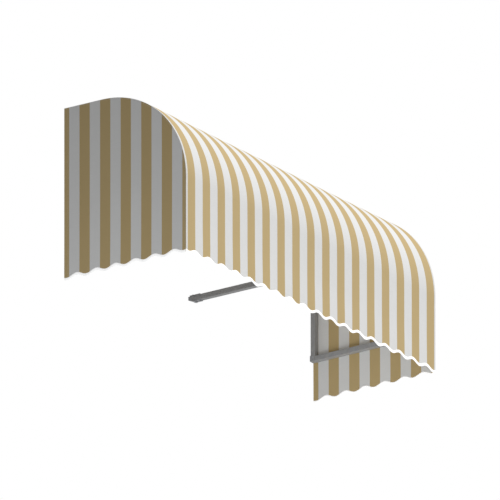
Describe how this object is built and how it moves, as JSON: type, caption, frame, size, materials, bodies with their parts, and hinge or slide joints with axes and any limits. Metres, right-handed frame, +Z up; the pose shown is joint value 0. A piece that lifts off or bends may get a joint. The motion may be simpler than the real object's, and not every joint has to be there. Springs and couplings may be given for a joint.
{
  "type": "fabric awning",
  "caption": "Fixed round-shouldered window awning: striped fabric cover with a waved hem on a square-tube frame that fastens to a wall.",
  "frame": {"origin": "centre of the middle header clip's back face, where the awning meets the wall", "axes": "+X along the facade to the right as seen from the street, +Y into the wall, +Z up"},
  "size_m": [2.6356, 0.9033, 1.1172],
  "materials": {
    "striped_cloth": "woven acrylic, tan and white stripes",
    "hem_tape": "white binding tape",
    "frame_paint": "grey coating on galvanised steel, satin",
    "zinc": "zinc plated, satin"
  },
  "bodies": {
    "root": {"cover": "striped_cloth", "left_end_panel": "striped_cloth", "right_end_panel": "striped_cloth", "front_binding": "hem_tape", "left_binding": "hem_tape", "right_binding": "hem_tape", "header_rail": "frame_paint", "left_front_rail": "frame_paint", "right_front_rail": "frame_paint", "left_wall_post": "frame_paint", "right_wall_post": "frame_paint", "left_lower_arm": "frame_paint", "right_lower_arm": "frame_paint", "middle_lower_arm": "frame_paint", "left_bow": "frame_paint", "right_bow": "frame_paint", "middle_bow": "frame_paint", "left_header_spigot": "frame_paint", "right_header_spigot": "frame_paint", "left_front_outer_spigot": "frame_paint", "right_front_outer_spigot": "frame_paint", "left_front_inner_spigot": "frame_paint", "right_front_inner_spigot": "frame_paint", "middle_bow_spigot": "frame_paint", "left_header_screw": "zinc", "right_header_screw": "zinc", "left_front_outer_screw": "zinc", "right_front_outer_screw": "zinc", "left_front_inner_screw": "zinc", "right_front_inner_screw": "zinc", "middle_bow_screw": "zinc", "left_header_clip": "zinc", "middle_header_clip": "zinc", "right_header_clip": "zinc", "left_foot_clip": "zinc", "right_foot_clip": "zinc", "left_header_clip_screw": "zinc", "middle_header_clip_screw": "zinc", "right_header_clip_screw": "zinc", "left_foot_clip_screw": "zinc", "right_foot_clip_screw": "zinc", "middle_arm_shoe": "zinc", "shoe_screw_top_rear": "zinc", "shoe_screw_top_front": "zinc", "shoe_screw_bottom_rear": "zinc", "shoe_screw_bottom_front": "zinc", "cover_screw_1": "zinc", "cover_screw_2": "zinc", "cover_screw_3": "zinc", "cover_screw_4": "zinc", "cover_screw_5": "zinc"}
  },
  "joints": []
}
